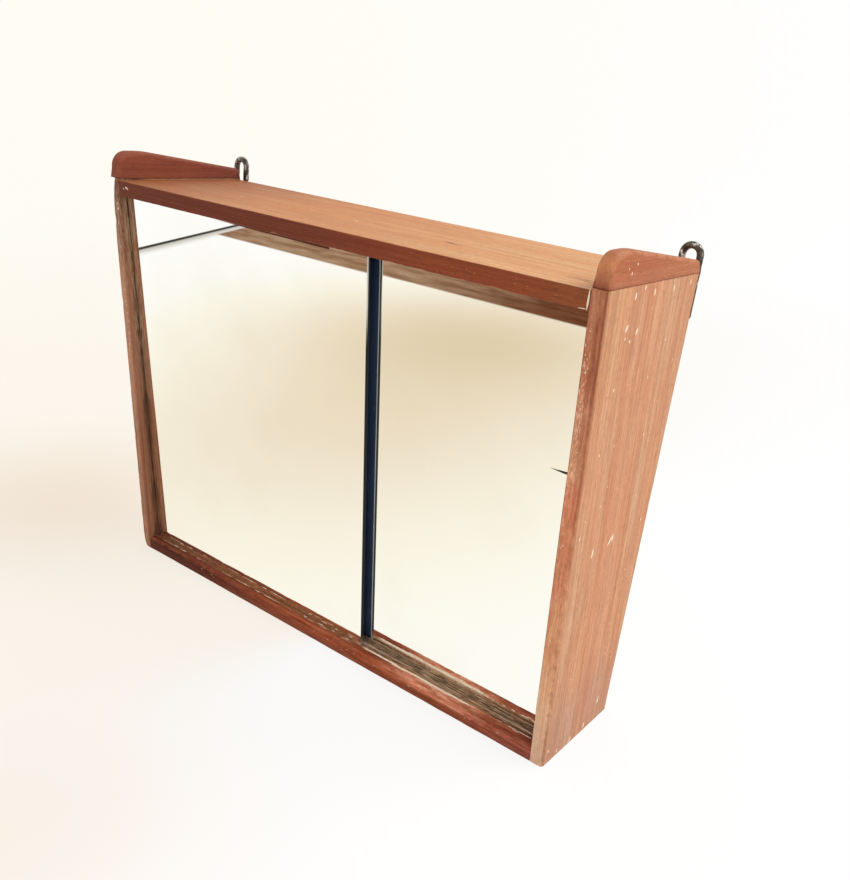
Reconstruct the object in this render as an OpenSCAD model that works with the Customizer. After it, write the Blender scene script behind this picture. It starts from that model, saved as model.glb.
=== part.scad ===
// Wall cabinet with two sliding mirror doors and low gallery ends on its top.
// The rear edges of the sides slope, so that the mirrors tip down a little on a wall.
// Millimetres: X runs along the width, Y from front to back and Z up.

/* [Carcass] */
// Overall width across the two sides
cabinet_width = 600; // [480:5:900]
// Height of the sides, without the gallery ends
cabinet_height = 430; // [340:1:560]
// Depth of the sides at their top
depth_top = 152; // [135:1:200]
// Depth of the sides at their foot
depth_bottom = 114; // [100:1:130]
// Thickness of the two sides
side_thickness = 14.3; // [12:0.1:20]
// Thickness of the top board
top_thickness = 15.3; // [13:0.1:20]
// How far the top board is set down below the top of the sides
top_set_down = 1.5; // [0:0.1:3]
// Thickness of the bottom board
bottom_thickness = 15.3; // [13:0.1:20]

/* [Door tracks] */
// Front lip left in front of the grooves of the bottom board
lip_bottom = 11.7; // [8:0.1:14]
// Front lip left in front of the grooves of the top board
lip_top = 7.6; // [6:0.1:14]
// Wood left between the two grooves
fillet_width = 4.9; // [3:0.1:7]
// Gap between a pane and each wall of its groove
groove_clearance = 0.4; // [0.3:0.05:0.8]
// Depth of the grooves in the bottom board
bottom_groove_depth = 4.5; // [3:0.1:5.5]
// Depth of the grooves in the top board, deep enough to lift a pane out
top_groove_depth = 9.6; // [8.6:0.1:11]

/* [Mirror doors] */
// Thickness of the glass
glass_thickness = 4; // [3:0.5:5]
// Width of each pane
pane_width = 345; // [300:1:400]
// Gap between a pane and the side that it is slid up to
pane_side_gap = 1; // [0.5:0.5:3]
// Gap under a pane, above the floor of its groove
pane_floor_gap = 0.2; // [0.1:0.05:0.4]
// Spare height that is left when a pane is lifted over the bottom lip
pane_lift_spare = 0.5; // [0.3:0.1:1]

/* [Gallery ends] */
// Height of a gallery end at its nose
gallery_height = 26.3; // [23:0.1:40]
// Radius that rounds the top of the nose
gallery_nose_radius = 16; // [8:0.5:22]
// Length from the front of the nose to the end of its level top
gallery_level = 33; // [23:1:60]
// Height of a gallery end at the rear
gallery_rear_height = 10; // [8:0.5:20]
// How far the nose stands back from the front of the side under it
gallery_setback = 0.8; // [0:0.1:3]

/* [Back panel] */
// Thickness of the plywood panel
panel_thickness = 4; // [3:0.5:6]
// Width of the rebate that the panel sits in
rebate_width = 6.5; // [5:0.5:7.5]
// Gap round the edge of the panel
panel_gap = 0.3; // [0.2:0.1:1]
// Diameter of the panel pins
pin_diameter = 1.6; // [1.2:0.1:2]
// Length of the panel pins
pin_length = 15; // [12:0.5:16]
// Widest spacing between two panel pins
pin_spacing = 120; // [80:5:200]

/* [Shelf] */
// Height of the underside of the shelf above the foot
shelf_height = 205; // [120:1:260]
// Thickness of the shelf
shelf_thickness = 10; // [8:0.5:15]
// Gap between the shelf and the rear pane in front of it
shelf_front_gap = 5; // [3:0.5:12]
// Gap between the shelf and what stands beside and behind it
shelf_edge_gap = 0.3; // [0.2:0.1:1]
// Height and width of the battens under the shelf
batten_size = 12; // [10:0.5:16]
// How far a batten stops short of the front and rear of the shelf
batten_setback = 6; // [3:0.5:12]

/* [Dowels] */
// Diameter of the dowels that join the carcass
dowel_diameter = 8; // [6:0.5:8.5]
// Length of the carcass dowels
dowel_length = 28; // [24:1:32]
// How far a carcass dowel goes into a side
dowel_in_side = 8.5; // [7:0.5:9]
// Diameter of the dowels under the gallery ends
gallery_dowel_diameter = 6; // [5:0.5:7]
// Length of the gallery dowels, half of it in each piece
gallery_dowel_length = 16; // [12:1:18]
// Gap round a dowel in its hole
dowel_clearance = 0.05; // [0.02:0.01:0.1]
// Spare depth at each end of a dowel hole
dowel_end_gap = 0.6; // [0.3:0.1:0.9]

/* [Hangers] */
// Diameter of the bent rod
rod_diameter = 6.2; // [4:0.1:6.5]
// Outer width of the hook
hook_width = 22.5; // [18:0.5:26]
// Height of the top of the hook above the sides
hook_rise = 24; // [22:0.5:34]
// How far the tip of the hook ends below the top of the sides
tip_drop = 3; // [0:0.5:8]
// Width of the flat tang
tang_width = 8; // [7:0.5:10]
// Thickness of the flat tang
tang_thickness = 2; // [1.5:0.1:3.5]
// Length of the tang below the top of the sides
tang_length = 40; // [34:1:50]
// Distance from the outer face of a side to the middle of its hanger's tang
hanger_inset = 4; // [3.5:0.1:5]
// Gap between the round rod and the rear edges in front of it
rod_gap = 0.3; // [0.3:0.1:1]

/* [Screws] */
// Shank diameter of the wood screws
screw_diameter = 3.5; // [3:0.1:4]
// Head diameter of the wood screws
screw_head_diameter = 7; // [6:0.1:8]
// Head height of the wood screws
screw_head_height = 2.2; // [1.8:0.1:2.8]
// Length of the hanger screws under the head
hanger_screw_length = 22; // [16:1:25]
// How far a batten screw goes into a side
batten_screw_bite = 9; // [7:0.5:10]
// Gap round a screw in its hole
screw_clearance = 0.05; // [0.02:0.01:0.1]
// Width of the slot in a screw head
screw_slot = 0.9; // [0.6:0.1:1.2]

/* [Hidden] */
$fn = 64;

// How far a cutting shape runs past the face that it opens
past = 1;
// Slope of the rear edges, and the length of the sides along them
slant = atan((depth_top - depth_bottom) / cabinet_height);
slope_length = cabinet_height / cos(slant);
inner_half = cabinet_width / 2 - side_thickness;
board_top = cabinet_height - top_set_down;
top_underside = board_top - top_thickness;
opening_height = top_underside - bottom_thickness;

groove_width = glass_thickness + 2 * groove_clearance;
groove_pitch = groove_width + fillet_width;
// The grooves above are nearer the front than those below, so the panes lean forward
pane_lean = atan((lip_bottom - lip_top) / opening_height);
pane_drop = bottom_groove_depth - pane_floor_gap;
pane_engagement = top_groove_depth - bottom_groove_depth - pane_lift_spare;
pane_height = opening_height + pane_drop + pane_engagement;
rear_pane_back = lip_bottom + groove_clearance + groove_pitch + glass_thickness;

panel_low = (bottom_thickness - rebate_width + panel_gap) / cos(slant);
panel_high = (top_underside + rebate_width - panel_gap) / cos(slant);
panel_half = inner_half + rebate_width - panel_gap;
panel_front = panel_thickness / cos(slant);
pin_head_diameter = 2 * pin_diameter;
pin_head_height = 0.5 * pin_diameter;

shelf_front = rear_pane_back + shelf_front_gap;
batten_front = shelf_front + batten_setback;

// Dowels stand behind the grooves and in front of the back panel
dowel_front = lip_bottom + groove_pitch + groove_width + 14;
dowel_rear_margin = panel_front + pin_length + 8;
hook_radius = (hook_width - rod_diameter) / 2;
hook_centre = hook_rise - hook_width / 2;
rod_axis = rod_gap + rod_diameter / 2;
hanger_screw_heights = [-tang_length / 4, -tang_length * 3 / 4];

teak = "peru";
teak_front = "sienna";
plywood = "burlywood";
beech = "wheat";
mirror_glass = "lightsteelblue";
metal = "dimgray";

// Depth of the rear plane, and of the back panel's inner face, at a height
function rear_y(z) = depth_bottom + z * tan(slant);
function panel_y(z) = rear_y(z) - panel_front;

// Three dowels in a row along a board of a given depth
function dowel_row(depth) =
    let (last = depth - dowel_rear_margin)
    [for (i = [0:2]) dowel_front + i * (last - dowel_front) / 2];

// Places between the ends of a run, spaced no wider than the pins may be
function spread(low, high) =
    let (n = ceil((high - low) / pin_spacing))
    [for (i = [0:n]) low + i * (high - low) / n];

// Puts the origin at the middle of the foot, from drawings measured from the front face
module from_front() translate([0, -depth_bottom / 2, 0]) children();

// Draws on the sloping rear plane, whose outside is +Y and whose foot is at Z = 0
module on_rear_plane() translate([0, depth_bottom, 0]) rotate([-slant, 0, 0]) children();

// Carries an outline drawn in Y and Z along X
module along_x(x0, x1)
    translate([x0, 0, 0])
        rotate([90, 0, 90])
            linear_extrude(x1 - x0) children();

module countersunk_screw(length, grow = 0) {
    cylinder(d = screw_diameter + 2 * grow, h = length + grow);
    cylinder(
        d1 = screw_head_diameter + 2 * grow,
        d2 = screw_diameter + 2 * grow,
        h = screw_head_height);
}

module round_screw(length) {
    difference() {
        intersection() {
            translate([0, 0, -screw_head_height]) cylinder(d = screw_head_diameter, h = screw_head_height);
            translate([0, 0, screw_head_diameter / 2 - screw_head_height]) sphere(d = screw_head_diameter);
        }
        translate([-screw_head_diameter, -screw_slot / 2, -screw_head_height - past])
            cube([2 * screw_head_diameter, screw_slot, past + screw_head_height / 2]);
    }
    cylinder(d = screw_diameter, h = length);
}

// All carcass dowels, or the holes for them when they are grown
module carcass_dowel_set(grow = 0, spare = 0)
    for (s = [-1, 1], at = [
        for (y = dowel_row(depth_bottom)) [y, bottom_thickness / 2],
        for (y = dowel_row(rear_y(top_underside))) [y, board_top - top_thickness / 2],
    ])
        translate([s * (inner_half + dowel_in_side - dowel_length / 2), at[0], at[1]])
            rotate([0, 90, 0])
                cylinder(d = dowel_diameter + 2 * grow, h = dowel_length + 2 * spare, center = true);

// Gallery dowels stand midway between the carcass dowels
module gallery_dowel_set(grow = 0, spare = 0)
    for (s = [-1, 1], i = [0, 1]) {
        row = dowel_row(rear_y(top_underside));
        translate([s * (inner_half + side_thickness / 2), (row[i] + row[i + 1]) / 2, cabinet_height])
            cylinder(
                d = gallery_dowel_diameter + 2 * grow,
                h = gallery_dowel_length + 2 * spare,
                center = true);
    }

// Panel pins go in square to the rear plane, with their heads flush
module panel_pin_set(grow = 0)
    on_rear_plane() {
        mid_x = inner_half + rebate_width / 2;
        low = (bottom_thickness - rebate_width / 2) / cos(slant);
        high = (top_underside + rebate_width / 2) / cos(slant);
        end_x = inner_half - 2 * side_thickness;
        end_z = 2 * side_thickness;
        places = [
            for (x = spread(-end_x, end_x), z = [low, high]) [x, z],
            for (z = spread(low + end_z, high - end_z), s = [-1, 1]) [s * mid_x, z],
        ];
        for (at = places)
            translate([at[0], 0, at[1]])
                rotate([90, 0, 0]) {
                    cylinder(d = pin_diameter + 2 * grow, h = pin_length + grow, $fn = 24);
                    translate([0, 0, -grow])
                        cylinder(d = pin_head_diameter + 2 * grow, h = pin_head_height + 2 * grow, $fn = 24);
                }
    }

// Batten screws run outward through the battens into the sides
module batten_screw_set(grow = 0)
    for (s = [-1, 1], y = batten_screw_places())
        translate([s * (inner_half - batten_size), y, shelf_height - batten_size / 2])
            rotate([0, s * 90, 0])
                countersunk_screw(batten_size + batten_screw_bite, grow);

// The space that the back panel takes, grown for the rebate
module panel_slab(grow = 0)
    on_rear_plane()
        translate([-panel_half - grow, -panel_thickness, panel_low - grow])
            cube([
                2 * (panel_half + grow),
                panel_thickness + (grow > 0 ? past : 0),
                panel_high - panel_low + 2 * grow,
            ]);

function batten_rear() = panel_y(shelf_height - batten_size) - batten_setback;
function batten_screw_places() =
    [for (f = [0.2, 0.8]) batten_front + f * (batten_rear() - batten_front)];
function hanger_x(s) = s * (cabinet_width / 2 - hanger_inset);

// Holes for the hanger screws, in the rear edges of the sides
module hanger_screw_holes()
    on_rear_plane()
        for (s = [-1, 1], h = hanger_screw_heights)
            translate([hanger_x(s), past, slope_length + h])
                rotate([90, 0, 0])
                    cylinder(
                        d = screw_diameter + 2 * screw_clearance,
                        h = hanger_screw_length - tang_thickness + past + screw_clearance);

module side_board(s) {
    inner = s * inner_half;
    outer = s * cabinet_width / 2;
    difference() {
        along_x(min(inner, outer), max(inner, outer))
            polygon([[0, 0], [depth_bottom, 0], [depth_top, cabinet_height], [0, cabinet_height]]);
        panel_slab(panel_gap);
        carcass_dowel_set(dowel_clearance, dowel_end_gap);
        gallery_dowel_set(dowel_clearance, dowel_end_gap);
        panel_pin_set(screw_clearance);
        batten_screw_set(screw_clearance);
        hanger_screw_holes();
    }
}

module side_left() color(teak) from_front() side_board(-1);
module side_right() color(teak) from_front() side_board(1);

// Two grooves side by side, drawn in Y and Z with their floor at z
module groove_pair(lip, z, depth)
    for (i = [0, 1])
        translate([lip + i * groove_pitch, z])
            square([groove_width, depth]);

module top_board() color(teak_front) from_front()
    difference() {
        along_x(-inner_half, inner_half)
            difference() {
                polygon([
                    [0, top_underside],
                    [rear_y(top_underside), top_underside],
                    [rear_y(board_top), board_top],
                    [0, board_top],
                ]);
                groove_pair(lip_top, top_underside - past, top_groove_depth + past);
            }
        panel_slab(panel_gap);
        carcass_dowel_set(dowel_clearance, dowel_end_gap);
        panel_pin_set(screw_clearance);
    }

module bottom_board() color(teak_front) from_front()
    difference() {
        along_x(-inner_half, inner_half)
            difference() {
                polygon([
                    [0, 0],
                    [depth_bottom, 0],
                    [rear_y(bottom_thickness), bottom_thickness],
                    [0, bottom_thickness],
                ]);
                groove_pair(lip_bottom, bottom_thickness - bottom_groove_depth, bottom_groove_depth + past);
            }
        panel_slab(panel_gap);
        carcass_dowel_set(dowel_clearance, dowel_end_gap);
        panel_pin_set(screw_clearance);
    }

// A gallery end has a rounded nose with a short level top, which then falls straight to
// the low rear end
module gallery_blank(x0, x1) {
    top = cabinet_height + gallery_height;
    centre = [gallery_setback + gallery_nose_radius, top - gallery_nose_radius];
    rear_top = cabinet_height + gallery_rear_height;
    union() {
        along_x(x0, x1)
            polygon([
                [gallery_setback, cabinet_height],
                [depth_top, cabinet_height],
                [rear_y(rear_top), rear_top],
                [gallery_setback + gallery_level, top],
                [centre[0], top],
                [gallery_setback, centre[1]],
            ]);
        intersection() {
            along_x(x0, x1)
                translate(centre) circle(r = gallery_nose_radius);
            along_x(x0, x1)
                translate([0, cabinet_height])
                    square([gallery_setback + 2 * gallery_nose_radius + past, gallery_height + past]);
        }
    }
}

module gallery_end(s) {
    inner = s * inner_half;
    outer = s * cabinet_width / 2;
    difference() {
        gallery_blank(min(inner, outer), max(inner, outer));
        gallery_dowel_set(dowel_clearance, dowel_end_gap);
    }
}

module gallery_left() color(teak_front) from_front() gallery_end(-1);
module gallery_right() color(teak_front) from_front() gallery_end(1);
module gallery_dowels() color(beech) from_front() gallery_dowel_set();
module carcass_dowels() color(beech) from_front() carcass_dowel_set();

module back_panel() color(plywood) from_front()
    difference() {
        panel_slab();
        panel_pin_set(screw_clearance);
    }

module panel_pins() color(metal) from_front() panel_pin_set();

module shelf() color(teak) from_front()
    along_x(-inner_half + shelf_edge_gap, inner_half - shelf_edge_gap)
        polygon([
            [shelf_front, shelf_height],
            [panel_y(shelf_height) - shelf_edge_gap, shelf_height],
            [panel_y(shelf_height + shelf_thickness) - shelf_edge_gap, shelf_height + shelf_thickness],
            [shelf_front, shelf_height + shelf_thickness],
        ]);

module shelf_batten(s)
    difference() {
        translate([
            s > 0 ? inner_half - batten_size : -inner_half,
            batten_front,
            shelf_height - batten_size,
        ])
            cube([batten_size, batten_rear() - batten_front, batten_size]);
        batten_screw_set(screw_clearance);
    }

module shelf_batten_left() color(teak) from_front() shelf_batten(-1);
module shelf_batten_right() color(teak) from_front() shelf_batten(1);
module batten_screws() color(metal) from_front() batten_screw_set();

// A pane turns about the inner arris of the bottom lip to meet the upper groove
module mirror_pane(x, track)
    translate([x, lip_bottom + groove_clearance + track * groove_pitch, bottom_thickness])
        rotate([pane_lean, 0, 0])
            translate([0, 0, -pane_drop])
                cube([pane_width, glass_thickness, pane_height]);

module mirror_left() color(mirror_glass) from_front() mirror_pane(-inner_half + pane_side_gap, 0);
module mirror_right() color(mirror_glass) from_front()
    mirror_pane(inner_half - pane_side_gap - pane_width, 1);

// A rod bent into a hook, whose outer leg is flattened into a tang on the rear edge
module hanger(s)
    difference() {
        union() {
            translate([0, rod_axis, -tang_width / 2])
                cylinder(d = rod_diameter, h = hook_centre + tang_width / 2);
            translate([-s * hook_radius, rod_axis, hook_centre])
                rotate([90, 0, 0])
                    rotate_extrude(angle = 180)
                        translate([hook_radius, 0])
                            circle(d = rod_diameter);
            translate([-s * 2 * hook_radius, rod_axis, rod_diameter / 2 - tip_drop]) {
                cylinder(d = rod_diameter, h = hook_centre + tip_drop - rod_diameter / 2);
                sphere(d = rod_diameter);
            }
            translate([-tang_width / 2, 0, tang_width / 2 - tang_length])
                cube([tang_width, tang_thickness, tang_length]);
            translate([0, 0, tang_width / 2 - tang_length])
                rotate([-90, 0, 0])
                    cylinder(d = tang_width, h = tang_thickness);
        }
        for (h = hanger_screw_heights)
            translate([0, -past, h])
                rotate([-90, 0, 0])
                    cylinder(d = screw_diameter + 2 * screw_clearance, h = rod_diameter + 2 * past);
    }

module hanger_left() color(metal) from_front() on_rear_plane()
    translate([hanger_x(-1), 0, slope_length]) hanger(-1);
module hanger_right() color(metal) from_front() on_rear_plane()
    translate([hanger_x(1), 0, slope_length]) hanger(1);

module hanger_screws() color(metal) from_front() on_rear_plane()
    for (s = [-1, 1], h = hanger_screw_heights)
        translate([hanger_x(s), tang_thickness, slope_length + h])
            rotate([90, 0, 0])
                round_screw(hanger_screw_length);

side_left();
side_right();
top_board();
bottom_board();
gallery_left();
gallery_right();
gallery_dowels();
carcass_dowels();
back_panel();
panel_pins();
shelf();
shelf_batten_left();
shelf_batten_right();
batten_screws();
mirror_left();
mirror_right();
hanger_left();
hanger_right();
hanger_screws();
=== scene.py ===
import math

import bpy
import numpy as np
from mathutils import Matrix, Vector


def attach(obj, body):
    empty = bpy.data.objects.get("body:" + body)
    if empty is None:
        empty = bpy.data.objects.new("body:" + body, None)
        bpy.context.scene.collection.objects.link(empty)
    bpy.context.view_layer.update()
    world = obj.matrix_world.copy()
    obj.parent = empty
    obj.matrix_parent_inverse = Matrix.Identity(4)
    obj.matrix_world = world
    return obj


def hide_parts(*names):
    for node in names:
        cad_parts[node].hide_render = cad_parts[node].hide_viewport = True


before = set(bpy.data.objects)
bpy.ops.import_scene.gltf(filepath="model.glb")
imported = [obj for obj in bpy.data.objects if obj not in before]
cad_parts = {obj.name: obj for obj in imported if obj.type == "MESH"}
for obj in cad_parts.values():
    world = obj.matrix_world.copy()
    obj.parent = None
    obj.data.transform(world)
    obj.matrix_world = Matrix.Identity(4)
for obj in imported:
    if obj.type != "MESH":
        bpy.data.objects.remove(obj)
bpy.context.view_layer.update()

# The cabinet's measures, in millimetres. X runs along the width, Y from the front face to the
# back and Z up from the foot. metres() turns them into the frame's metres.
HALF_WIDTH = 300.0
HEIGHT = 430.0
DEPTH_FOOT = 114.0
DEPTH_TOP = 152.0
INNER_HALF = 285.7
BOTTOM_TOP = 15.3
TOP_UNDER = 413.2
TOP_BOARD_TOP = 428.5
LIP_BOTTOM = 11.7
LIP_TOP = 7.6
GROOVE = 4.8
GROOVE_PITCH = 9.7
BOTTOM_GROOVE_DEPTH = 4.5
TOP_GROOVE_DEPTH = 9.6
GLASS = 4.0
SEAM = 0.5
PANE_WIDTH = 345.0
PANE_HEIGHT = 406.8
PANE_DROP = 4.3
PANE_GAP = 1.0
GROOVE_PLAY = 0.4
GALLERY_HEIGHT = 26.3
NOSE_RADIUS = 16.0
NOSE_SETBACK = 0.8
GALLERY_LEVEL = 33.0
GALLERY_REAR = 10.0
GALLERY_WEAR = 0.06
REBATE = 6.5
REBATE_DEPTH = 4.02
REBATE_REACH = 0.2
SHELF_LOW = 205.0
SHELF_THICK = 10.0
SHELF_FRONT = 30.8
SHELF_PLAY = 0.3
ROD = 6.2
HOOK_RADIUS = 8.15
HOOK_CENTRE = 12.75
HANGER_INSET = 4.0
ROD_AXIS = 3.4
TANG_LENGTH = 40.0
TANG_WIDTH = 8.0
TANG_THICK = 2.0
TIP_DROP = 3.0

SLOPE = (DEPTH_TOP - DEPTH_FOOT) / HEIGHT
SLANT = math.atan(SLOPE)
LEAN = math.atan((LIP_BOTTOM - LIP_TOP) / (TOP_UNDER - BOTTOM_TOP))

MM = 0.001
X, Y, Z = 0, 1, 2
# Where a section's two columns and the place along the path go in X, Y and Z.
YZ_ALONG_X = [2, 0, 1]
XY_ALONG_Z = [0, 1, 2]
END_WEAR = 0.7


def rear(z):
    """Depth of the sloping rear plane at a height."""
    return DEPTH_FOOT + SLOPE * z


def metres(points):
    """Millimetres from the front face to metres from the middle of the foot."""
    return (np.asarray(points, float) - (0.0, DEPTH_FOOT / 2, 0.0)) * MM


# ---- surfaces


def ripple(along, step, rng):
    """Random heights from 0 to 1 every step along a line, joined by smooth half waves."""
    share = (along - np.min(along)) / step
    low = np.floor(share).astype(int)
    heights = rng.random(low.max() + 2)
    part = share - low
    part = part * part * (3 - 2 * part)
    return heights[low] * (1 - part) + heights[low + 1] * part


def dents(along, count, depth, width, rng):
    """Sum of bell curves, depth exp(-(s - centre)^2 / width^2), at random places on a line."""
    centres = rng.uniform(np.min(along), np.max(along), count)
    depths = depth * rng.uniform(0.3, 1.0, count)
    widths = width * rng.uniform(0.5, 1.5, count)
    away = (along[:, None] - centres) / widths
    return (depths * np.exp(-away * away)).sum(1)


def rounded(corners, radii, steps=4):
    """A closed section with rounded corners, for every ring at once.

    The section runs anticlockwise. A corner P is reached along the unit vector u and turns by
    the angle a. With n as u turned left, s as the turn's sign and m as n turned by a share of a,
    its round of radius r passes through P + r (s n - s m - u tan|a / 2|), and m is the inward
    normal there. Returns the points, the inward normals and the roundness, which is the sine of
    the share's half turn."""
    corners = np.asarray(corners, float)
    reach = corners - np.roll(corners, 1, axis=-2)
    leave = np.roll(reach, -1, axis=-2)
    u = reach / np.linalg.norm(reach, axis=-1, keepdims=True)
    v = leave / np.linalg.norm(leave, axis=-1, keepdims=True)
    turn = np.arctan2(u[..., 0] * v[..., 1] - u[..., 1] * v[..., 0], (u * v).sum(-1))
    share = np.linspace(0.0, 1.0, steps + 1)
    angle = turn[..., None] * share
    n = np.stack([-u[..., 1], u[..., 0]], -1)[..., None, :]
    inward = np.stack([
        n[..., 0] * np.cos(angle) - n[..., 1] * np.sin(angle),
        n[..., 0] * np.sin(angle) + n[..., 1] * np.cos(angle),
    ], -1)
    side = np.sign(turn)[..., None, None]
    back = u[..., None, :] * np.tan(np.abs(turn) / 2)[..., None, None]
    radius = np.broadcast_to(radii, turn.shape)[..., None, None]
    points = corners[..., None, :] + radius * (side * n - side * inward - back)
    roundness = np.broadcast_to(np.sin(np.pi * share), turn.shape + share.shape)
    flat = corners.shape[:-2] + (-1,)
    return points.reshape(flat + (2,)), inward.reshape(flat + (2,)), roundness.reshape(flat)


def stations(start, stop, arris, step, arc=3):
    """Places along a board, and how far its section is drawn in at each.

    Each end has a quarter round of the arris radius r: at the angle a it is r (1 - cos a) along
    and r (1 - sin a) in. The rest is spaced evenly."""
    angle = np.linspace(0, np.pi / 2, arc + 1)
    depth, inset = arris * (1 - np.cos(angle)), arris * (1 - np.sin(angle))
    count = max(1, math.ceil((stop - start - 2 * arris) / step))
    middle = np.linspace(start + arris, stop - arris, count + 1)[1:-1]
    along = np.concatenate([start + depth, middle, stop - depth[::-1]])
    return along, np.concatenate([inset, 0 * middle, inset[::-1]])


def into_scene(name, data):
    """A new object at the origin."""
    made = bpy.data.objects.new(name, data)
    bpy.context.scene.collection.objects.link(made)
    return made


def add_piece(name, vertices, faces, finishes, normals=None, wear=None, body="carcass",
              slot=None, nodes=()):
    """Puts a mesh into the scene, hangs it on its body and hides the parts that it stands for.

    wear holds the names and point values of the attributes that the finishes read."""
    mesh = bpy.data.meshes.new(name)
    mesh.from_pydata(metres(vertices).tolist(), [], faces)
    for finish in finishes:
        mesh.materials.append(finish)
    if normals is not None:
        mesh.polygons.foreach_set("use_smooth", [True] * len(mesh.polygons))
        mesh.normals_split_custom_set(normals)
    for attribute, values in (wear or {}).items():
        mesh.attributes.new(attribute, "FLOAT", "POINT").data.foreach_set("value", np.ravel(values))
    piece = into_scene(name, mesh)
    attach(piece, body)
    if nodes:
        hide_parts(*nodes)
    return piece


def between_rings(at):
    """Quads from the point numbers of rings: j and j + 1 of one, then of the next and back."""
    after = np.roll(at, -1, axis=-1)
    near, far = np.s_[..., :-1, :], np.s_[..., 1:, :]
    return np.stack([at[near], after[near], after[far], at[far]], -1).reshape(-1, 4)


def skin(rings, tangent=None):
    """Faces and normals of a tube through closed rings, with a flat cap on each end.

    The rings run anticlockwise about the path. A quad joins points j and j + 1 of rings i and
    i + 1. The normal is the cross product of the way round the ring and the way along the path,
    and a cap's is the sum of the cross products of its neighbouring points about its middle."""
    count, size = rings.shape[:2]
    at = np.arange(count * size).reshape(count, size)
    quads = between_rings(at)
    if tangent is None:
        tangent = np.roll(rings, -1, axis=1) - np.roll(rings, 1, axis=1)
    path = np.gradient(rings, axis=0)
    normal = np.cross(tangent, path).reshape(-1, 3)
    normal /= np.linalg.norm(normal, axis=1, keepdims=True) + 1e-12
    ends = rings[[0, -1]] - rings[[0, -1]].mean(1, keepdims=True)
    ways = np.cross(ends, np.roll(ends, -1, axis=1)).sum(1) * [[-1], [1]]
    ways /= np.linalg.norm(ways, axis=1, keepdims=True)
    faces = quads.tolist() + [at[0, ::-1].tolist(), at[-1].tolist()]
    loops = np.concatenate([normal[quads.ravel()], np.repeat(ways, size, axis=0)])
    return faces, loops


def carry(name, section, inward, along, inset, order, finishes, wear=None, smooth=True, **facts):
    """A piece whose section is carried along an axis, with a flat cap on each end.

    A point is the section's point plus the inset times the inward normal, at its place along
    the axis. The section, the places and the insets may differ from ring to ring."""
    shape = (len(along),) + section.shape[-2:]
    inward = np.broadcast_to(inward, shape)
    along, inset = (a.reshape(len(a), -1) for a in (along, inset))
    flat = section + inset[..., None] * inward
    place = np.broadcast_to(along, shape[:2])[..., None]
    travel = np.stack([inward[..., 1], -inward[..., 0]], -1)
    rings = np.concatenate([flat, place], -1)[..., order]
    faces, loops = skin(rings, np.concatenate([travel, 0 * place], -1)[..., order])
    return add_piece(name, rings.reshape(-1, 3), faces, finishes, loops if smooth else None, wear,
                     **facts)


def board(name, corners, radii, along, inset, order, finish, steps=4, **facts):
    """A solid whose section, corners and radii are given for each place along an axis."""
    section, inward, roundness = rounded(corners, radii, steps)
    worn = np.broadcast_to(roundness, (len(along), section.shape[-2])).copy()
    worn[inset > 0] = np.maximum(worn[inset > 0], END_WEAR)
    return carry(name, section, inward, along, inset, order, [finish], {"worn": worn}, **facts)


# ---- finishes


def tone(red, green, blue):
    """A colour as a screen shows it, from 0 to 255, in the linear values that nodes take."""
    screen = np.array([red, green, blue]) / 255
    linear = np.where(screen <= 0.04045, screen / 12.92, ((screen + 0.055) / 1.055) ** 2.4)
    return (*linear.tolist(), 1.0)


def plug(entry, value):
    """Links a wire to a node's socket, or sets the socket's own value."""
    if isinstance(value, Wire):
        entry.id_data.links.new(value.socket, entry)
    else:
        entry.default_value = value


def arithmetic(operation, wire_first=True):
    """A method that makes one Math node of the wire and the values it is given."""
    def method(self, *values):
        return self.math(operation, *((self, *values) if wire_first else (*values, self)))
    return method


class Wire:
    """A node's output in a finish. Sums and products of wires and numbers are Math nodes."""

    def __init__(self, socket, finish):
        self.socket, self.finish = socket, finish

    def math(self, operation, *values):
        return self.finish.node("Math", {"operation": operation}, dict(enumerate(values)))

    __add__, __radd__ = arithmetic("ADD"), arithmetic("ADD", False)
    __sub__, __rsub__ = arithmetic("SUBTRACT"), arithmetic("SUBTRACT", False)
    __mul__, __rmul__ = arithmetic("MULTIPLY"), arithmetic("MULTIPLY", False)
    __truediv__, __abs__ = arithmetic("DIVIDE"), arithmetic("ABSOLUTE")
    exp = arithmetic("EXPONENT")

    def rise(self, low, high, floor=0.0, top=1.0):
        """Goes smoothly from floor to top as the value goes from low to high."""
        return self.finish.node("MapRange", {"interpolation_type": "SMOOTHSTEP"}, {
            "Value": self, "From Min": low, "From Max": high, "To Min": floor, "To Max": top,
        })

    def to(self, share, second, kind="MIX"):
        """A colour that goes from this one to the second as share goes from 0 to 1."""
        return self.finish.blend(share, self, second, kind)


BUMP_SOCKETS = ("Height", "Strength", "Distance")


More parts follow.
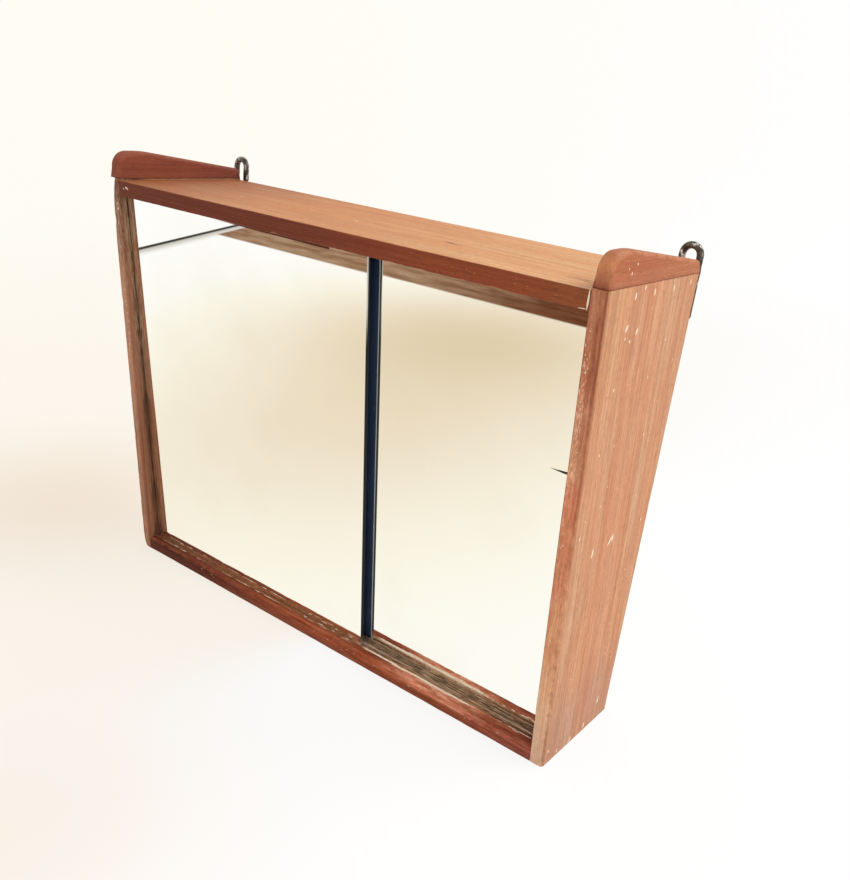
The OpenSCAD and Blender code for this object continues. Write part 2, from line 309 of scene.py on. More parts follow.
class Finish:
    """A material that is being made from nodes. Its textures read the point place."""

    def __init__(self, name, nodes=None, coordinates="Object"):
        if nodes is None:
            self.material = bpy.data.materials.new(name)
            self.material.use_nodes = True
            nodes = self.material.node_tree.nodes
        nodes.clear()
        self.nodes = nodes
        self.place = self.node("TexCoord", out=coordinates)

    def node(self, kind, settings=None, sockets=None, out=0):
        """Any node: its settings first, then the values or wires of its sockets."""
        made = self.nodes.new("ShaderNode" + kind)
        for name, value in (settings or {}).items():
            if name == "stops":
                ramp = made.color_ramp.elements
                while len(ramp) < len(value):
                    ramp.new(0.5)
                for stop, (position, colour) in zip(ramp, value):
                    stop.position, stop.color = position, colour
            else:
                setattr(made, name, value)
        for name, value in (sockets or {}).items():
            plug(made.inputs[name], value)
        return Wire(made.outputs[out], self) if len(made.outputs) else made

    def axes(self):
        """The X, Y and Z of the place."""
        first = self.node("SeparateXYZ", None, {0: self.place})
        return [Wire(socket, self) for socket in first.socket.node.outputs]

    def vector(self, operation, sockets, out=0):
        return self.node("VectorMath", {"operation": operation}, sockets, out)

    def noise(self, scale, detail=2.0, roughness=0.5, out=0, place=None):
        return self.node("TexNoise", None, {
            "Vector": place or self.place, "Scale": scale, "Detail": detail,
            "Roughness": roughness,
        }, out)

    def drawn(self, sizes, detail=2.0, roughness=0.5, shift=(0.0, 0.0, 0.0)):
        """A noise drawn out to the given sizes along X, Y and Z, in metres."""
        scaled = self.node("Mapping", None, {
            "Vector": self.place, "Scale": tuple(1 / s for s in sizes), "Location": shift,
        })
        return self.noise(1.0, detail, roughness, place=scaled)

    def wander(self, scale, reach):
        """Moves the place by up to reach metres by a slow noise."""
        drift = self.noise(scale, out=1)
        self.place = self.vector("MULTIPLY_ADD", {0: drift, 1: (reach,) * 3, 2: self.place})

    def blend(self, share, first, second, kind="MIX"):
        """A colour that goes from first to second as share goes from 0 to 1."""
        return self.node("Mix", {"data_type": "RGBA", "blend_type": kind}, {
            0: share, 6: first, 7: second,
        }, 2)

    def shader(self, kind, colour, **sockets):
        return self.node(kind, None, {"Color": colour, **sockets})

    def either(self, share, first, second):
        """A shader that goes from first to second as share goes from 0 to 1."""
        return self.node("MixShader", None, {0: share, 1: first, 2: second})

    def ray(self, kind):
        """1 for a ray of this kind, and 0 for any other."""
        return self.node("LightPath", out="Is %s Ray" % kind)

    def surface(self, colour, rough, bump=None, sheen=0.5, metal=0.0):
        """Ends the material in one surface. bump is a height, its strength and its distance."""
        sockets = {"Base Color": colour, "Roughness": rough, "Specular IOR Level": sheen,
                   "Metallic": metal}
        if bump:
            sockets["Normal"] = self.node("Bump", None, dict(zip(BUMP_SOCKETS, bump)))
        shader = self.node("BsdfPrincipled", None, sockets)
        self.node("OutputMaterial", None, {"Surface": shader})
        return self.material


def timber(name, grain, dark, middle, light, shift=0.0, zones=(), paints=(), worn_tone=None,
           worn_share=0.5, gloss=0.0, sheen=0.25, figured=1.0):
    """Oiled and weathered hardwood whose grain runs along one axis.

    Broad figure, streaks, hairlines and pores are noises stretched along the grain, and mottle
    is a short one. A zone is (limits, tint, share): each limit is (axis, from, to) in
    millimetres, and the tint multiplies the colour where all of them are passed, by the share
    or in full. With a size across and one along the grain, in metres, it is broken up into
    strokes. Paints are zones whose colour covers the wood. Colours are given as a screen shows
    them, and tints as plain factors."""
    finish = Finish(name)
    dark, middle, light = tone(*dark), tone(*middle), tone(*light)
    axes = finish.axes()
    finish.wander(4.0, 0.008)

    def run(across, length):
        return [length if axis == grain else across for axis in (X, Y, Z)]

    def strands(across, length, detail, seed, roughness=0.55):
        return finish.drawn(run(across, length), detail, roughness,
                            (shift + seed, 2 * shift - seed, seed))

    def layer(limits, seed, share=1.0, *strokes):
        """Where a zone shows: the product of its limits, its share and its strokes."""
        if strokes:
            share = share * strands(*strokes, 2.0, seed).rise(0.47, 0.57)
        for axis, low, high in limits:
            offset = DEPTH_FOOT / 2 if axis == Y else 0.0
            share = axes[axis].rise((low - offset) * MM, (high - offset) * MM) * share
        return share

    figure = strands(0.014, 0.40, 3.0, 1.7).rise(0.34, 0.66)
    streak = strands(0.0020, 0.11, 3.0, 4.1, 0.65).rise(0.36, 0.66)
    lines = strands(0.0011, 0.05, 2.0, 7.3).rise(0.46, 0.68)
    hairs = strands(0.0009, 0.045, 1.0, 5.9).rise(0.54, 0.64)
    pores = strands(0.00045, 0.006, 1.0, 11.9).rise(0.60, 0.70)
    mottle = finish.drawn(run(0.0016, 0.006), 2.0, 0.6)
    hue = finish.drawn(run(0.022, 0.12), shift=(shift,) * 3).rise(0.35, 0.65)

    colour = finish.blend(figure * 0.75, middle, light)
    colour = colour.to(streak * (0.55 * figured), dark)
    colour = colour.to(lines * (0.30 * figured), light)
    colour = colour.to(hairs * (0.40 * figured), dark)
    colour = colour.to(hue, colour.to(1.0, (1.03, 0.95, 0.88, 1.0), "MULTIPLY"))
    speckle = finish.node("CombineColor", None, {
        0: 0.86 + 0.28 * mottle, 1: 0.84 + 0.32 * mottle, 2: 0.83 + 0.34 * mottle,
    })
    colour = colour.to(1.0, speckle, "MULTIPLY")
    for seed, (limits, tint, *share) in enumerate(zones, 40):
        colour = colour.to(layer(limits, seed, *share), (*tint, 1.0), "MULTIPLY")
    if worn_tone:
        worn = finish.node("Attribute", {"attribute_name": "worn"}, out="Fac")
        rub = finish.noise(110.0, 3.0).rise(0.38, 0.60)
        colour = colour.to(worn * rub * worn_share, tone(*worn_tone))
    colour = colour.to(pores * 0.40, tone(70, 34, 22))
    for seed, (limits, cover, *share) in enumerate(paints, 80):
        colour = colour.to(layer(limits, seed, *share), tone(*cover))
    height = streak * -0.35 + lines * 0.3 + mottle * 0.25 - pores * 0.8
    rough = 0.52 - gloss + 0.14 * mottle + 0.10 * streak
    return finish.surface(colour, rough, (height, 0.5, 0.00025), sheen=sheen)


def silvering():
    """The front of a mirror: bright metal with a faint veil of dust and small smears.

    On the right pane a missing sliver of silver runs in from the edge: a wedge whose half
    thickness grows with the distance from its tip. Along part of the left pane's top runs a
    brown strip: a painted reflection of the top board's lip."""
    finish = Finish("mirror_silvering")
    x, y, z = finish.axes()
    veil = finish.noise(9.0, 4.0).rise(0.45, 0.8)
    smear = finish.drawn((0.03, 0.03, 0.006), 3.0).rise(0.6, 0.8)
    colour = finish.blend(veil * 0.5, tone(255, 254, 250), tone(248, 244, 236))
    tip_x, tip_z, spread, tilt = 0.2570, 0.2774, 0.075, 0.02
    run = x - tip_x
    waver = 0.0006 * (finish.noise(260.0) - 0.5)
    gap = (spread * run - abs(z - tip_z - tilt * run + waver)).rise(0.0, 0.00016)
    colour = colour.to(gap, tone(24, 20, 18))
    # painted reflection of the top board's lip: a brown strip along part of the left pane's top
    strip = (z + 0.0093 * x).rise(0.40952, 0.40972) * x.rise(-0.15, -0.10)
    strip = strip * x.rise(0.0145, 0.0138) * y.rise(-0.0435, -0.0445)
    colour = colour.to(strip, tone(96, 40, 32))
    return finish.surface(colour, 0.012 + 0.03 * veil * smear + 0.5 * gap, metal=1.0 - gap - strip)


def seamed_edge():
    """The ground seam round the back of a mirror: pale and frosted."""
    finish = Finish("mirror_seam")
    grit = finish.noise(900.0)
    return finish.surface(finish.blend(grit, tone(150, 156, 156), tone(226, 230, 228)),
                          0.35 + 0.3 * grit)


def glass_edge():
    """The edge of a mirror: dark glass with a pale ground line at its back, dust at its foot and
    a glint along the upper part of its front."""
    finish = Finish("mirror_edge")
    _, y, z = finish.axes()
    wave = finish.drawn((0.001, 0.001, 0.01))
    front = (LIP_BOTTOM + GROOVE_PLAY + BOTTOM_TOP * math.tan(LEAN) - DEPTH_FOOT / 2) * MM
    depth = y + z * math.tan(LEAN) - front
    colour = finish.blend(wave, tone(22, 26, 28), tone(38, 42, 42))
    colour = colour.to(depth.rise(0.0034, 0.0036), tone(140, 138, 132))
    glint = depth.rise(0.0016, 0.0012) * z.rise(0.330, 0.375)
    colour = colour.to(glint, tone(226, 222, 214))
    dust = (z + 0.004 * wave).rise(0.028, 0.017)
    colour = colour.to(dust, tone(150, 132, 122))
    return finish.surface(colour, 0.42 + 0.2 * wave, (wave, 0.3, 0.0002), sheen=0.15)


def backing_paint():
    """The navy paint on the back of a mirror, with a brushed and scuffed film."""
    finish = Finish("mirror_backing")
    brush = finish.drawn((0.0015, 0.0015, 0.06), 3.0)
    scuff = finish.noise(60.0, 5.0, 0.65).rise(0.60, 0.68)
    colour = finish.blend(brush, tone(54, 70, 104), tone(70, 90, 128))
    colour = colour.to(scuff * 0.35, tone(112, 124, 144))
    return finish.surface(colour, 0.42 + 0.2 * brush, (brush + 0.6 * scuff, 0.25, 0.0003),
                          sheen=0.3)


def tarnished_rod():
    """Old plated steel: grey-brown tarnish with rust specks, and bright rubbed places that are
    partly painted highlights.
    """
    finish = Finish("hanger_tarnish")
    cloud = finish.noise(160.0, 4.0, 0.6).rise(0.35, 0.65)
    rub = finish.drawn((0.003, 0.003, 0.006)).rise(0.52, 0.70)
    rust = finish.noise(700.0, 3.0).rise(0.60, 0.68)
    colour = finish.blend(cloud, tone(64, 56, 50), tone(104, 94, 84))
    # bright rubbed places, partly painted highlights
    colour = colour.to(rub, tone(214, 208, 198))
    colour = colour.to(rust * 0.35, tone(96, 62, 40))
    return finish.surface(colour, 0.36 - 0.14 * rub + 0.25 * rust, (cloud - rust, 0.35, 0.0002),
                          metal=0.9 - 0.5 * rust)


def screw_steel():
    """Dull zinc on the small fastenings, spotted with rust."""
    finish = Finish("screw_steel")
    cloud = finish.noise(420.0, 3.0)
    rust = finish.noise(900.0, 3.0).rise(0.56, 0.66)
    colour = finish.blend(cloud, tone(118, 112, 104), tone(168, 162, 152))
    colour = colour.to(rust * 0.7, tone(110, 70, 44))
    return finish.surface(colour, 0.38 + 0.3 * rust, (cloud - rust, 0.3, 0.0002),
                          metal=0.85 - 0.6 * rust)


def plywood_sheet():
    """Rotary-cut veneer: wide wavy figure, short checks and a dry surface."""
    finish = Finish("back_plywood")
    finish.wander(7.0, 0.05)
    figure = finish.drawn((0.22, 0.03, 0.03), 4.0, 0.6)
    checks = finish.drawn((0.03, 0.0008, 0.0008)).rise(0.60, 0.70)
    wave = figure.rise(0.32, 0.68)
    colour = finish.blend(wave, tone(182, 140, 97), tone(204, 165, 121))
    colour = colour.to(checks * 0.5, tone(120, 84, 54))
    return finish.surface(colour, 0.66 + 0.1 * figure, (figure - checks, 0.4, 0.0003))


def paint_fleck():
    """Old white paint: chalky, with yellowed spots."""
    finish = Finish("paint_flecks")
    age = finish.noise(500.0, 3.0)
    return finish.surface(finish.blend(age, tone(222, 202, 172), tone(250, 240, 220)),
                          0.6 + 0.2 * age)


# Limits that several zones share: from the axis's first place to the second, the share rises.
RIGHT_FRONT = (Y, 1.2, 0.4)
LEFT_FRONT = (Y, 3, 1)
LEFT_INNER = (X, -286.4, -285.8)
BOARD_FRONT = (Y, 0.9, 0.3)
BOARD_TOP = (Y, 0.3, 0.9)
LIP_EDGE = (Y, 11.9, 11.5)

side_right_teak = timber(
    "side_right_teak", Z, (174, 114, 80), (206, 150, 115), (218, 173, 137), 3,
    zones=[
        ([RIGHT_FRONT, (Z, 280, 330)], (0.8, 0.58, 0.56)),
        ([RIGHT_FRONT, (Z, 280, 220)], (1.1, 0.88, 0.84)),
        ([RIGHT_FRONT, (Z, 305, 325), (Z, 360, 340)], (1.12, 1.26, 1.34)),
        ([RIGHT_FRONT, (Z, 350, 372), (Z, 416, 396)], (0.9, 0.82, 0.8)),
        ([RIGHT_FRONT, (Z, 235, 255), (Z, 290, 275)], (1, 0.8, 0.8)),
        ([RIGHT_FRONT, (Z, 125, 148), (Z, 190, 165)], (1.08, 1.3, 1.36)),
        ([RIGHT_FRONT, (Z, 170, 60)], (1.26, 1.9, 2.1)),
        ([RIGHT_FRONT, (X, 290.5, 292.5), (Z, 265, 300)], (0.78, 0.66, 0.6), 0.6, 0.003, 0.03),
        ([RIGHT_FRONT, (Z, 120, 200)], (1.14, 1.2, 1.24), 0.8, 0.0026, 0.006),
        ([RIGHT_FRONT, (X, 293.5, 291.5), (Z, 235, 290), (Z, 425, 380)],
         (1.45, 1.75, 1.95), 0.9, 0.0008, 0.005),
        ([RIGHT_FRONT, (Z, 285, 265), (Z, 60, 120)], (0.82, 0.72, 0.66), 0.6, 0.003, 0.025),
        ([(Y, 4, 2), (X, 297.4, 298.6), (Z, 180, 300)], (0.74, 0.6, 0.54), 0.9),
        ([(Y, 2, 1), (X, 286.7, 286.1)], (0.5, 0.44, 0.42), 0.9),
        ([(Z, 100, 30)], (0.86, 0.9, 1.03)),
        ([(Y, 40, 5), (Z, 300, 400)], (0.98, 1, 0.94)),
        ([(Y, 30, 60), (Y, 110, 70)], (1.02, 0.94, 0.92), 0.8),
        ([(Y, 2, 3)], (0.93, 0.9, 0.88), 0.8, 0.008, 0.3),
    ], worn_tone=(136, 76, 52), worn_share=0.4, figured=0.85)
side_left_teak = timber(
    "side_left_teak", Z, (122, 78, 56), (160, 110, 82), (176, 126, 96), 5,
    zones=[
        ([LEFT_FRONT, (Z, 140, 220), (Z, 370, 320)], (1.26, 1.34, 1.46)),
        ([(Y, 40, 14), (Z, 370, 405)], (0.72, 0.76, 0.76)),
        # painted shadow in a band just under the top board
        ([(Y, 40, 14), (Z, 410, 413)], (0.85, 0.66, 0.64), 0.9),
        ([(Z, 230, 120)], (0.95, 0.9, 0.86)),
        # painted shadow band along the inner arris of the rounded front
        ([LEFT_FRONT, (X, -290, -286.5)], (0.84, 0.7, 0.64)),
        # painted highlights: pale strokes along the middle of the front
        ([LEFT_FRONT, (X, -296, -294.5), (X, -290.5, -292)], (1.3, 1.34, 1.38), 0.8, 0.004, 0.022),
        ([(Y, 3.5, 8), (Y, 34, 18), LEFT_INNER], (0.38, 0.35, 0.32)),
        ([(Y, 5, 7), (Y, 30, 16), LEFT_INNER], (2.1, 2.2, 2.2), 0.8, 0.0018, 0.03),
        ([LEFT_FRONT, (Z, 300, 370)], (0.56, 0.52, 0.5), 0.75, 0.0016, 0.014),
    ], paints=[
        ([LEFT_FRONT, (Z, 290, 360)], (190, 160, 130), 0.42, 0.0011, 0.009),
        ([(Y, 2, 4), (Y, 18, 14), LEFT_INNER, (Z, 180, 300)],
         (176, 148, 116), 0.6, 0.0012, 0.014),
        ([LEFT_FRONT, (Z, 360, 300), (X, -295, -293), (X, -289, -291)],
         (186, 150, 122), 0.45, 0.0009, 0.007),
    ], worn_tone=(132, 82, 56), worn_share=0.3, figured=0.55)
top_teak = timber(
    "top_board_teak", X, (186, 129, 83), (213, 157, 108), (224, 176, 126), 9,
    zones=[
        ([BOARD_FRONT], (0.4, 0.16, 0.1)),
        # darker towards the left end of the front face: partly the wood's tone, partly painted
        # shade
        ([BOARD_FRONT, (X, 180, -60)], (0.66, 0.66, 0.8)),
        ([BOARD_FRONT, (X, 220, 270)], (1, 1.25, 1.3)),
        # this and the next two darken the board towards its left end: partly the wood's tone,
        # partly painted shade
        ([(X, 220, -100)], (0.93, 0.81, 0.75)),
        ([BOARD_TOP, (X, 250, -60)], (0.92, 0.87, 0.82)),
        ([BOARD_TOP, (X, -60, -290)], (0.6, 0.5, 0.47)),
        ([BOARD_TOP, (X, 245, 280), (Y, 20, 4)], (0.62, 0.52, 0.48), 0.9, 0.004, 0.03),
        ([(Y, 46, 53), (Y, 62, 56), (X, 97, 110), (X, 128, 114)],
         (0.42, 0.32, 0.28), 1, 0.0024, 0.03),
        ([(Y, 12, 26), (Y, 44, 34), (X, 238, 262)], (0.56, 0.46, 0.42), 0.8, 0.005, 0.02),
        ([(Z, 413.6, 413.2)], (0.55, 0.45, 0.42)),
    ], worn_tone=(160, 92, 66), worn_share=0.35, gloss=0.04, figured=0.9)
rail_teak = timber(
    "bottom_board_teak", X, (96, 38, 22), (152, 72, 42), (176, 98, 64), 13,
    zones=[
        ([(Y, 11, 12), (Y, 28, 25)], (1.14, 3.2, 5.1)),
        ([(Y, 17.2, 18.2), (Y, 20.8, 19.8), (X, 30, 70)], (0.6, 0.58, 0.56), 0.9),
        ([(Y, 11, 12), (Z, 14.8, 14)], (1.7, 1.6, 1.5)),
        ([(Y, 11.5, 12), (Y, 28, 26), (Z, 14.6, 15)], (1.7, 1.7, 1.7), 0.9, 0.0012, 0.015),
        ([(Y, 11.5, 12), (Y, 28, 26)], (0.36, 0.34, 0.32), 0.85, 0.0016, 0.014),
        ([(Y, 5, 6.5), LIP_EDGE, (X, 70, 40)], (0.74, 1, 1), 0.95),
        ([(Y, 0.8, 2.4), (Y, 12, 11), (Z, 14, 14.9), (X, -200, -80), (X, 90, 50)],
         (1.42, 1.75, 1.75), 0.9),
        ([(Y, 4, 2), (Z, 6.5, 10.5), (X, -90, 0)], (1.22, 1.18, 1.16)),
        ([(Y, 4.2, 5), (Y, 6.6, 5.8), (X, 0, -60)], (0.45, 0.4, 0.38), 0.9),
        ([(Y, 6.5, 8), LIP_EDGE, (X, 90, 20)], (1.5, 1.5, 1.5), 0.8, 0.0016, 0.03),
        ([LIP_EDGE, (Z, 6.5, 12.5), (X, 80, 150), (X, 240, 180)], (2.1, 3.2, 4.4), 0.95),
        ([LIP_EDGE, (Z, 7, 13), (X, 70, 130), (X, 280, 220)], (1.35, 1.7, 2), 0.8, 0.004, 0.014),
        ([(Y, 3.5, 0.5), (X, -40, -230)], (0.52, 0.44, 0.42)),
        ([(Y, 12, 11), (X, -60, -240)], (0.8, 0.78, 0.76)),
        ([(Y, 3, 0.3), (X, 180, 280)], (1.1, 1.25, 1.9)),
        ([(Y, 11, 9)], (0.72, 0.62, 0.58), 0.6, 0.0034, 0.02),
        ([(Z, 2, 0.6), (Y, 3, 1)], (0.55, 0.48, 0.45), 0.8),
        ([(Y, 36, 90)], (1.5, 2.6, 3.6)),
        ([(Y, 112.4, 113.6)], (0.62, 0.68, 0.7)),
        ([(Y, 3, 8), (Y, 28, 24), (X, 256, 284)], (0.6, 0.5, 0.46), 0.9),
    ], paints=[
        ([(Y, 8.6, 9.6), (Y, 12.4, 12), (Z, 14, 14.6), (X, 62, 74), (X, 212, 200)],
         (255, 238, 216)),
        ([(Y, 7.2, 8.4), (Y, 12.2, 11.8), (Z, 14.2, 14.8), (X, 62, 74), (X, 215, 190)],
         (246, 214, 190), 0.95, 0.004, 0.014),
        ([(Y, 10.2, 10.8), (Y, 12.2, 11.8), (Z, 14.2, 14.8), (X, 196, 206)],
         (246, 222, 202), 1, 0.004, 0.007),
        ([(Y, 11, 11.4), (Y, 12.6, 12), (Z, 12.6, 13.6), (X, 40, 66)],
         (240, 212, 188), 0.95, 0.01, 0.03),
        ([(Y, 16.1, 16.4), (Y, 17.4, 17), (X, 40, 60)], (206, 180, 158), 0.8, 0.006, 0.04),
        ([(Y, 6.4, 7), (Y, 8.4, 7.8), (X, 60, 40), (Z, 14.6, 15)],
         (216, 170, 140), 0.7, 0.005, 0.012),
    ], worn_tone=(180, 112, 84), worn_share=0.3, gloss=0.02, sheen=0.12)
gallery_left_teak = timber(
    "gallery_left_teak", Y, (108, 50, 33), (140, 71, 48), (154, 84, 58), 17,
    zones=[
        ([(Z, 431, 430.4)], (0.55, 0.48, 0.46)),
        ([(Z, 450, 438), (Y, 40, 4)], (0.88, 0.86, 0.92), 0.8),
        ([(Y, 80, 130)], (0.84, 0.86, 1.06)),
    ], worn_tone=(150, 94, 70), worn_share=0.35, gloss=0.02, figured=0.55)
gallery_right_teak = timber(
    "gallery_right_teak", Y, (154, 86, 57), (176, 104, 72), (190, 122, 84), 19,
    zones=[
        ([(Z, 439, 430), (Y, 12, 2)], (0.72, 0.6, 0.58)),
        ([(Y, 10, 2), (Z, 438, 446)], (1.28, 1.36, 1.42)),
        ([(Y, 50, 15), (Z, 434, 446)], (1.02, 1.08, 1)),
        ([(Y, 60, 130)], (1, 1.1, 1.12)),
        ([(Z, 434, 430.5)], (0.86, 0.78, 0.76), 0.8),
        ([(Z, 430.9, 430.4)], (0.58, 0.48, 0.45)),
        ([(X, 289, 286.5)], (0.72, 0.62, 0.58)),
    ], worn_tone=(198, 142, 106), worn_share=0.5, gloss=0.02, figured=0.5)
inside_teak = timber(
    "inside_teak", X, (150, 92, 60), (184, 128, 90), (202, 150, 110), 23)
beech_rod = timber(
    "beech_rod", X, (190, 152, 112), (214, 180, 140), (228, 200, 164), 31)
batten_teak = timber(
    "batten_teak", Y, (148, 92, 60), (180, 126, 88), (200, 150, 110), 37)
silver, seam, edge, backing = silvering(), seamed_edge(), glass_edge(), backing_paint()
tarnish, steel = tarnished_rod(), screw_steel()
plywood, fleck_paint = plywood_sheet(), paint_fleck()

for node_name, finish in [
    ("back_panel", plywood), ("panel_pins", steel), ("batten_screws", steel),
    ("hanger_screws", steel), ("carcass_dowels", beech_rod), ("gallery_dowels", beech_rod),
    ("shelf_batten_left", batten_teak), ("shelf_batten_right", batten_teak),
]:
    carried_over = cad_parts[node_name].data.materials
    carried_over.clear()
    carried_over.append(finish)


# ---- sides


def side(sign, name, finish, rng):
    """A side board: a plan section in X and Y, carried up Z, whose rear corners move back with
    the slope. The rebate for the back panel is a step in the section between two heights. The
    front corners are rounder towards the ends of the left side."""
    z, inset = stations(0.0, HEIGHT, 0.7, 3.0)
    low, high = BOTTOM_TOP - REBATE - REBATE_REACH, TOP_UNDER + REBATE + REBATE_REACH
    jump, rest = 0.01, 0.02
    stops = np.array([low, low + jump, high, high + jump])
    place = np.searchsorted(z, stops)
    z, inset = np.insert(z, place, stops), np.insert(inset, place, 0.0)
    rebated = (z > low + jump / 2) & (z < high + jump / 2)
    step = np.where(rebated, REBATE_DEPTH + rest, rest)
    back, nought = rear(z), 0 * z
    xs = [INNER_HALF, HALF_WIDTH, HALF_WIDTH, INNER_HALF + REBATE, INNER_HALF + REBATE, INNER_HALF]
    ys = [nought, nought, back, back, back - step, back - step]
    corners = np.stack([np.stack([nought + x, y], -1) for x, y in zip(xs, ys)], 1)
    from_top = HEIGHT - z
    outer_front = 1.1 + 0.5 * ripple(z, 14.0, rng) + dents(z, 16, 1.2, 2.5, rng)
    inner_front = 0.9 + 0.4 * ripple(z, 17.0, rng)
    if sign < 0:
        outer_front = outer_front + 1.6 + 9.0 * np.exp(-from_top / 18.0) + 6.0 * np.exp(-z / 5.0)
    else:
        outer_front = outer_front + 2.4 * np.clip((310.0 - z) / 90.0, 0, 1)
    outer_rear = 1.0 + 0.5 * ripple(z, 20.0, rng)
    small = nought + 0.01
    radii = np.stack([inner_front, outer_front, outer_rear, small, small, small], -1)
    if sign < 0:
        corners = corners[:, ::-1] * (-1, 1)
        radii = radii[:, ::-1]
    return board(name, corners, radii, z, inset, XY_ALONG_Z, finish, 5, slot="teak_side",
                 nodes=[name])


side(-1, "side_left", side_left_teak, np.random.default_rng(11))
side(1, "side_right", side_right_teak, np.random.default_rng(12))


# ---- boards between the sides


def grooved_board(name, low, high, lip, groove_floor, open_side, rebate_edge, lip_round, finish,
                  rng):
    """A board between the sides: a section in Y and Z with two grooves and the rear rebate,
    carried along X. The arris radii change along X with ripples and dents."""
    x, inset = stations(-INNER_HALF, INNER_HALF, 0.25, 2.5)
    g = [lip, lip + GROOVE, lip + GROOVE_PITCH, lip + GROOVE_PITCH + GROOVE]
    panel_at = rear(open_side) - REBATE_DEPTH
    panel_end = rear(rebate_edge) - REBATE_DEPTH
    grooves = [(y, z) for a, b in ((0, 1), (2, 3)) for y, z in (
        (g[a], open_side), (g[a], groove_floor), (g[b], groove_floor), (g[b], open_side))]
    back = [(panel_at, open_side), (panel_end, rebate_edge), (rear(rebate_edge), rebate_edge)]
    far = low if open_side == high else high
    ring = [(0.0, open_side)] + grooves + back + [(rear(far), far), (0.0, far)]
    worn_front = lip_round + 0.5 * ripple(x, 25.0, rng) + dents(x, 26, 0.9, 3.0, rng)
    worn_lip = 0.6 + 0.5 * ripple(x, 9.0, rng) + dents(x, 40, 0.9, 2.0, rng)
    foot_arris = 0.9 + 0.5 * ripple(x, 21.0, rng)
    fine = 0.3 + 0.25 * ripple(x, 7.0, rng)
    sharp = 0 * x + 0.25
    radii = np.stack([worn_front, worn_lip, sharp, sharp, fine, fine, sharp, sharp, fine,
                      sharp, sharp, sharp + 0.3, sharp + 0.3, foot_arris], -1)
    corners = np.broadcast_to(ring, (len(x), len(ring), 2))
    if open_side == high:
        corners, radii = corners[:, ::-1], radii[:, ::-1]
    return board(name, corners, radii, x, inset, YZ_ALONG_X, finish, slot="teak_board",
                 nodes=[name])


grooved_board("bottom_board", 0.0, BOTTOM_TOP, LIP_BOTTOM, BOTTOM_TOP - BOTTOM_GROOVE_DEPTH,
              BOTTOM_TOP, BOTTOM_TOP - REBATE, 3.4, rail_teak, np.random.default_rng(21))
grooved_board("top_board", TOP_UNDER, TOP_BOARD_TOP, LIP_TOP, TOP_UNDER + TOP_GROOVE_DEPTH,
              TOP_UNDER, TOP_UNDER + REBATE, 0.8, top_teak, np.random.default_rng(22))


def shelf():
    """The shelf: a section in Y and Z whose rear follows the slope, carried along X."""
    x, inset = stations(SHELF_PLAY - INNER_HALF, INNER_HALF - SHELF_PLAY, 0.6, 12.0)
    low, high = SHELF_LOW, SHELF_LOW + SHELF_THICK
    back = [rear(z) - REBATE_DEPTH - SHELF_PLAY for z in (low, high)]
    corners = [(SHELF_FRONT, low), (back[0], low), (back[1], high), (SHELF_FRONT, high)]
    return board("shelf", corners, [1.6, 0.7, 0.7, 1.6], x, inset, YZ_ALONG_X, inside_teak, 5,
                 slot="teak_inside", nodes=["shelf"])


shelf()


# ---- gallery ends


def gallery_end(sign, name, finish, rng):
    """A gallery end: an outline in Y and Z, carried along X over a side's thickness.

    The outline is a quadrilateral with a level top and a sloping one, whose corners are rounded.
    Each face is drawn in by a quarter round whose radius changes along the outline."""
    top, low_top = HEIGHT + GALLERY_HEIGHT - GALLERY_WEAR, HEIGHT + GALLERY_REAR
    corners = np.array([(NOSE_SETBACK, HEIGHT), (DEPTH_TOP, HEIGHT), (rear(low_top), low_top),
                        (NOSE_SETBACK + GALLERY_LEVEL, top), (NOSE_SETBACK, top)])
    steps = 20
    section, inward, _ = rounded(corners, [0.9, 0.3, 4.5, 120.0, NOSE_RADIUS], steps)
    count = len(section)
    wave = ripple(np.arange(count, dtype=float), 6.0, rng)
    knots = np.append(np.arange(0, count, steps + 1)[:, None] + [0, steps], count)
    arris = np.interp(np.arange(count), knots,
                      [0.8, 0.25, 0.25, 0.25, 3.4, 3.4, 3.6, 4.2, 5.0, 5.4, 0.8])
    outer = arris * (0.92 + 0.16 * wave)
    inner = arris * (0.96 + 0.16 * wave[::-1])
    turn = np.linspace(0, np.pi / 2, 8)[:, None]
    x0, x1 = (INNER_HALF, HALF_WIDTH) if sign > 0 else (-HALF_WIDTH, -INNER_HALF)
    first, last = (inner, outer) if sign > 0 else (outer, inner)
    along = np.concatenate([x0 + first * (1 - np.cos(turn)), x1 - last * (1 - np.cos(turn[::-1]))])
    inset = np.concatenate([first * (1 - np.sin(turn)), last * (1 - np.sin(turn[::-1]))])
    edge_share = np.broadcast_to(np.sin(2 * np.concatenate([turn, turn[::-1]])), along.shape)
    return carry(name, section, inward, along, inset, YZ_ALONG_X, [finish], {"worn": edge_share},
                 slot="teak_gallery", nodes=[name])


gallery_end(-1, "gallery_left", gallery_left_teak, np.random.default_rng(31))
gallery_end(1, "gallery_right", gallery_right_teak, np.random.default_rng(32))


# ---- mirror doors


